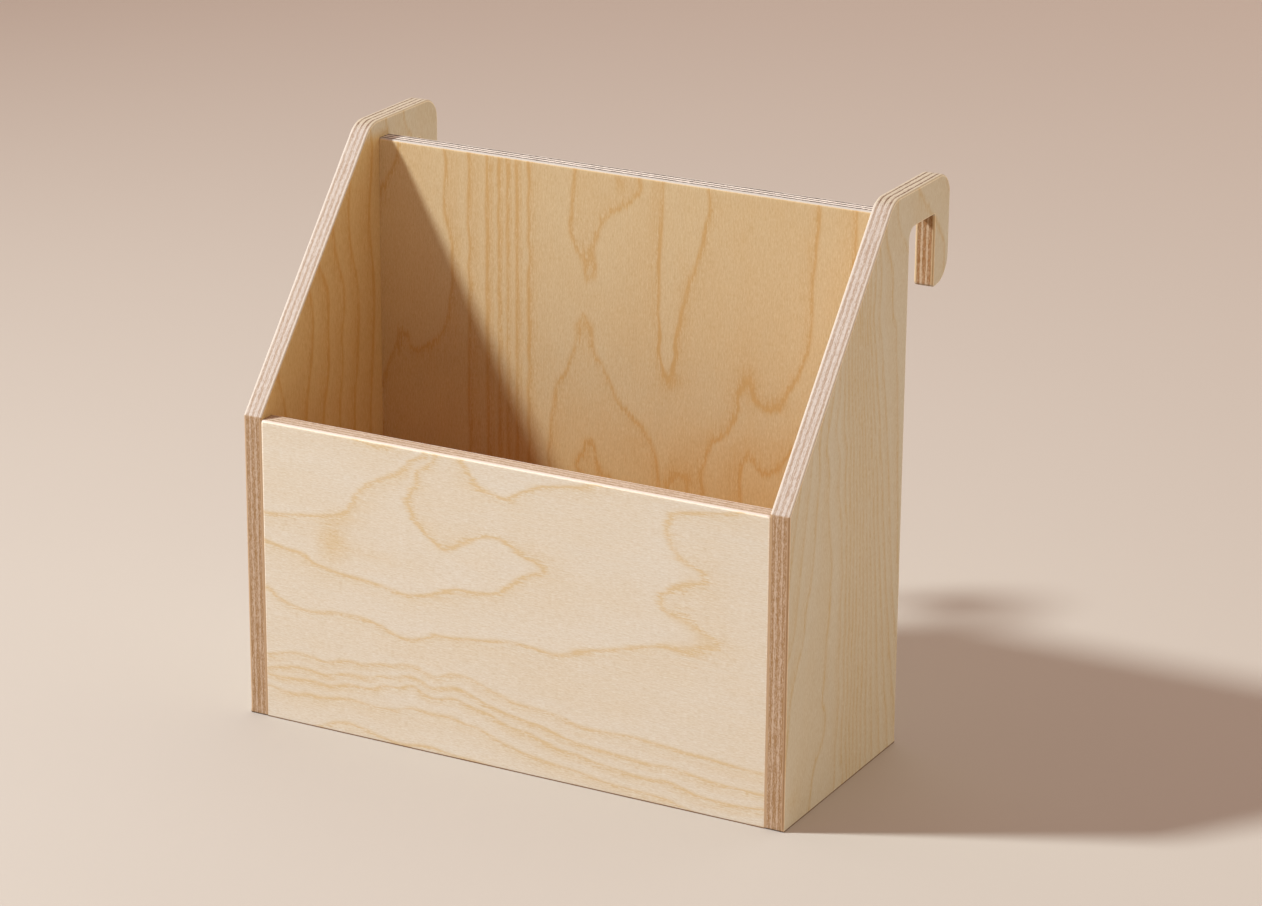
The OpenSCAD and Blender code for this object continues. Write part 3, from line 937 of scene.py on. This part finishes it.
def ply_colour(tree):
    """Colour and height of a cut edge: plies in turn cut along and across their grain, the latter darker
    and pitted, with the two outer plies in a colour of their own. Off is the distance to the middle of
    the nearest ply cut across, as a share of a ply."""
    run, depth, _ = parts_of(tree, attribute(tree, "edge"))
    breadth = attribute(tree, "breadth", "Fac")
    streaks = attribute(tree, "streaks", "Fac")

    def sawn(mark):
        return noise(tree, mark, run, depth, mark.level)

    ply = depth / (BOARD_T / PLIES) + sawn(PLY_WAVER) * PLY_WAVER.shift
    pair = (ply - FIRST_ACROSS) / 2
    off = (pair - pair.math("ROUND")).math("ABSOLUTE") * 2
    long_streak = sawn(LONG_STREAK)
    broad_streak = sawn(BROAD_STREAK)
    short_streak = sawn(SHORT_STREAK)
    speck = sawn(SPECK)
    border = breadth - off + long_streak * LONG_STREAK.shift + short_streak * SHORT_STREAK.shift
    across = border.within(-PLY_BORDER, PLY_BORDER)
    streak = long_streak * LONG_STREAK.darkens + broad_streak * BROAD_STREAK.darkens
    streak = streak + short_streak * SHORT_STREAK.darkens + speck * SPECK.darkens
    shade = across * (streaks * -1 + 1) + streaks * .5 + streak * (streaks * STREAK_GAIN + 1)
    colour = mixed(tree, shade.within(*SHADE_RANGE), attribute(tree, "cut_along"),
                   attribute(tree, "cut_across"))
    skin = (ply - PLIES / 2).math("ABSOLUTE").within(PLIES / 2 - SKIN_FROM, PLIES / 2 - SKIN_TO)
    colour = mixed(tree, skin, colour, attribute(tree, "cut_outer"))
    inside = skin * -1 + 1
    seam = (off - .5).math("ABSOLUTE").within(*SEAM_RANGE) * inside
    pit = sawn(PIT).within(*PIT_RANGE) * (across * (1 - PIT_ALONG) + PIT_ALONG) * inside
    colour = mixed(tree, pit * PIT.darkens, colour, PIT_TINT, "MULTIPLY")
    value = speck * -SPECK.dims - short_streak * SHORT_STREAK.dims - long_streak * LONG_STREAK.dims + 1
    value = value - seam * SEAM_DIMS - pit * PIT.dims
    return scaled_colour(tree, colour, value), speck * -SPECK.deep - pit - seam * SEAM_DEEP


def board_material(name, along_axis, across_axis, outer, inner, outer_lines, inner_lines):
    """Birch plywood: veneer on the faces, plies on the cut edges, matt clear lacquer over both. Within the
    bin the inner faces are warmer than on the hooks, partly their own veneer and partly painted warm shade
    from bounced light, and low down and to the right they get more painted warm shade. The arrises carry a
    painted highlight, and the foot a painted contact shadow."""
    material, tree, shader = shader_of(name)
    x, y, z = place_in_mm(tree)
    _, depth, turn = parts_of(tree, attribute(tree, "edge"))
    inwards = depth.within(BOARD_T * (.5 - HALF_BAND), BOARD_T * (.5 + HALF_BAND))
    outside = y.within(*BIN_REAR).math("MAXIMUM", z.within(*BIN_TOP))
    within_bin = inwards * (outside * -1 + 1)
    # Painted warm shade low down and to the right within the bin
    painted_low_shade = z.within(*LOW_SHADE_HEIGHTS) * x.within(*LOW_SHADE_SIDEWAYS) * within_bin
    # Within the bin the inner colour holds painted warm shade from bounced light as well as the veneer
    base = mixed(tree, within_bin, outer, inner)
    base = mixed(tree, painted_low_shade, base, LOW_BIN_SHADE_TINT, "MULTIPLY")
    line_tint = mixed(tree, within_bin, LINE_TINT, BIN_LINE_TINT_AND_SHADE)
    line_strength = within_bin * (inner_lines - outer_lines) + outer_lines
    face, face_height = veneer_colour(tree, across_axis, along_axis, base, line_tint, line_strength)
    cut, cut_height = ply_colour(tree)
    rim = turn.within(*CUT_TURN)
    # A painted highlight along the arrises, weaker within the bin
    arris = turn.within(*HIGHLIGHT_TURN) * turn.within(*HIGHLIGHT_END_TURN)
    painted_highlight = arris * (within_bin * (BIN_PAINTED_HIGHLIGHT - OUTER_PAINTED_HIGHLIGHT) + OUTER_PAINTED_HIGHLIGHT) + 1
    colour = scaled_colour(tree, mixed(tree, rim, face, cut), painted_highlight)
    # A painted contact shadow along the foot of every board
    colour = mixed(tree, z.within(*CONTACT_SHADOW_HEIGHTS), colour, CONTACT_SHADOW_TINT, "MULTIPLY")
    connect(colour, shader.inputs["Base Color"])
    connect(rim * CUT_ROUGHER + FACE_ROUGH, shader.inputs["Roughness"])
    shader.inputs["Specular IOR Level"].default_value = LACQUER_GLOSS
    relief = face_height * (rim * -1 + 1) + cut_height * rim
    bump = {"Strength": RELIEF_STRENGTH, "Distance": RELIEF_H * MM, "Height": relief}
    connect(read(tree.nodes.new("ShaderNodeBump"), bump, "Normal"), shader.inputs["Normal"])
    return material


def dowel_material():
    """Raw beech: short dark rays over a streaked warm ground."""
    material, tree, shader = shader_of("beech_dowel")
    x, y, z = place_in_mm(tree)

    def turned(mark):
        return noise(tree, mark, x, y, z / mark.width)

    ray = turned(DOWEL_RAY).within(*DOWEL_RAY_RANGE)
    value = turned(DOWEL_STREAK) * DOWEL_STREAK.dims + 1 - ray * DOWEL_RAY.dims
    connect(scaled_colour(tree, DOWEL_WOOD, value), shader.inputs["Base Color"])
    shader.inputs["Roughness"].default_value = DOWEL_ROUGH
    return material


def paper_material():
    """Matt backdrop paper with a faint tooth, with painted light that makes it a little paler to the left
    and to the rear.
    """
    material, tree, shader = shader_of("backdrop_paper")
    x, y, z = place_in_mm(tree)

    def pressed(mark):
        return noise(tree, mark, x, y, z) * mark.dims

    # Painted light: the paper is paler towards one side and towards the rear
    painted_light_sideways = x.math("MAXIMUM", PAPER_LEFT).math("MINIMUM", PAPER_RIGHT) * PAPER_LIGHT_SIDEWAYS
    painted_light_backwards = y.math("MAXIMUM", PAPER_FRONT).math("MINIMUM", PAPER_REAR) * PAPER_LIGHT_BACKWARDS
    tone = pressed(PAPER_TOOTH) + pressed(PAPER_CLOUD) + painted_light_sideways + painted_light_backwards + 1
    connect(scaled_colour(tree, FLOOR_PAPER, tone), shader.inputs["Base Color"])
    shader.inputs["Roughness"].default_value = PAPER_ROUGH
    shader.inputs["Specular IOR Level"].default_value = PAPER_GLOSS
    return material


# Surroundings

def camera():
    """The camera, from its place, azimuth, drop and roll."""
    azimuth, drop, roll = radians(CAMERA_AZIMUTH), radians(CAMERA_DROP), radians(CAMERA_ROLL)
    ahead = Vector((-sin(azimuth) * cos(drop), cos(azimuth) * cos(drop), -sin(drop)))
    level = Vector((cos(azimuth), sin(azimuth), 0))
    overhead = level.cross(ahead)
    right = level * cos(roll) + overhead * sin(roll)
    up = right.cross(ahead)
    data = bpy.data.cameras.new("camera")
    data.lens = LENS
    data.sensor_width = SENSOR
    data.sensor_fit = "HORIZONTAL"
    data.clip_start = NEAREST
    data.clip_end = FARTHEST
    eye = bpy.data.objects.new("camera", data)
    turn = Matrix((right, up, -ahead)).transposed().to_4x4()
    eye.matrix_world = Matrix.Translation(CAMERA_PLACE) @ turn
    bpy.context.scene.collection.objects.link(eye)
    bpy.context.scene.camera = eye


def key_light():
    """A round soft box that falls off to its sides. Its power is pi^2 distance^2 times the colour KEY,
    which gives that colour at the rack."""
    data = bpy.data.lights.new("key", "AREA")
    data.shape = "DISK"
    data.size = KEY_SIZE
    data.spread = radians(KEY_SPREAD)
    strongest = KEY.max()
    data.color = tuple(KEY / strongest)
    data.energy = pi ** 2 * KEY_PLACE.length_squared * strongest
    lamp = bpy.data.objects.new("key", data)
    lamp.location = KEY_PLACE
    lamp.rotation_euler = (KEY_AIM - KEY_PLACE).to_track_quat("-Z", "Y").to_euler()
    bpy.context.scene.collection.objects.link(lamp)


def fill_light():
    """Soft light, and a plain pale colour where the camera looks past the floor. The light from a
    direction is the sum of each fill's colour times max(0, a . d), with its axis a and the direction d."""
    world = bpy.data.worlds.new("studio")
    bpy.context.scene.world = world
    world.use_nodes = True
    tree = world.node_tree
    lit = tree.nodes["Background"]
    towards = Reading(tree.nodes.new("ShaderNodeTexCoord").outputs["Generated"])
    total = (0.0, 0.0, 0.0, 1)
    for axis, colour in FILLS:
        node = tree.nodes.new("ShaderNodeVectorMath")
        node.operation = "DOT_PRODUCT"
        share = read(node, {0: towards, 1: axis}, "Value").math("MAXIMUM", 0.0)
        total = mixed(tree, 1.0, total, scaled_colour(tree, colour, share), "ADD")
    connect(total, lit.inputs["Color"])
    shown = read(tree.nodes.new("ShaderNodeBackground"), {"Color": BEHIND_COLOUR})
    seen = Reading(tree.nodes.new("ShaderNodeLightPath").outputs["Is Camera Ray"])
    either = read(tree.nodes.new("ShaderNodeMixShader"), {0: seen, 1: Reading(lit.outputs[0]), 2: shown})
    connect(either, tree.nodes["World Output"].inputs["Surface"])


def floor():
    """A wide level sheet of paper."""
    corners = np.array([(-1, -1, 0), (1, -1, 0), (1, 1, 0), (-1, 1, 0)], float) * FLOOR_REACH
    sheet = mesh_piece("paper_floor", corners, np.array([[0, 1, 2, 3]]), {}, {})
    sheet.data.materials.append(paper_material())


camera()
key_light()
fill_light()
floor()

side_finish = board_material("birch_side", Z, Y, VENEER_SIDE, SIDE_BIN_VENEER_AND_SHADE, *SIDE_STRENGTHS)
front_finish = board_material("birch_front", X, Z, VENEER_FRONT, BIN_VENEER_AND_SHADE, *FRONT_STRENGTHS)
back_finish = board_material("birch_back", Z, X, VENEER_SIDE, BIN_VENEER_AND_SHADE, *BACK_STRENGTHS)
floor_finish = board_material("birch_floor", X, Y, VENEER_SIDE, BIN_VENEER_AND_SHADE, *FLOOR_STRENGTHS)

# A face without growth lines of its own has waves, from a seed
side_board("side_right", 1, [(plate_surface(RIGHT_LINES), RIGHT_PATCHES),
                             (wave_surface(3, UPRIGHT_GRAIN), NO_PATCHES)], side_finish)
side_board("side_left", -1, [(wave_surface(5, UPRIGHT_GRAIN), NO_PATCHES),
                             (plate_surface(LEFT_LINES), NO_PATCHES)], side_finish)
cross_board("front_panel", front_low, front_high, -1,
            [(plate_surface(FRONT_LINES), FRONT_PATCHES), (wave_surface(7, LEVEL_GRAIN), NO_PATCHES)],
            LEVEL_GRAIN, FRONT_CUT, front_finish)
cross_board("back_panel", back_low, back_high, 1,
            [(wave_surface(11, UPRIGHT_GRAIN), NO_PATCHES), (plate_surface(BACK_LINES), BACK_PATCHES)],
            UPRIGHT_GRAIN, BACK_CUT, back_finish)
floor_board("bottom_panel", [(wave_surface(13, LEVEL_GRAIN), NO_PATCHES),
                             (wave_surface(17, LEVEL_GRAIN), NO_PATCHES)], floor_finish)

dowel_finish = dowel_material()
for name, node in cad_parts.items():
    if name.startswith("dowels_"):
        node.data.materials.clear()
        node.data.materials.append(dowel_finish)

bpy.context.scene.view_settings.view_transform = "Standard"
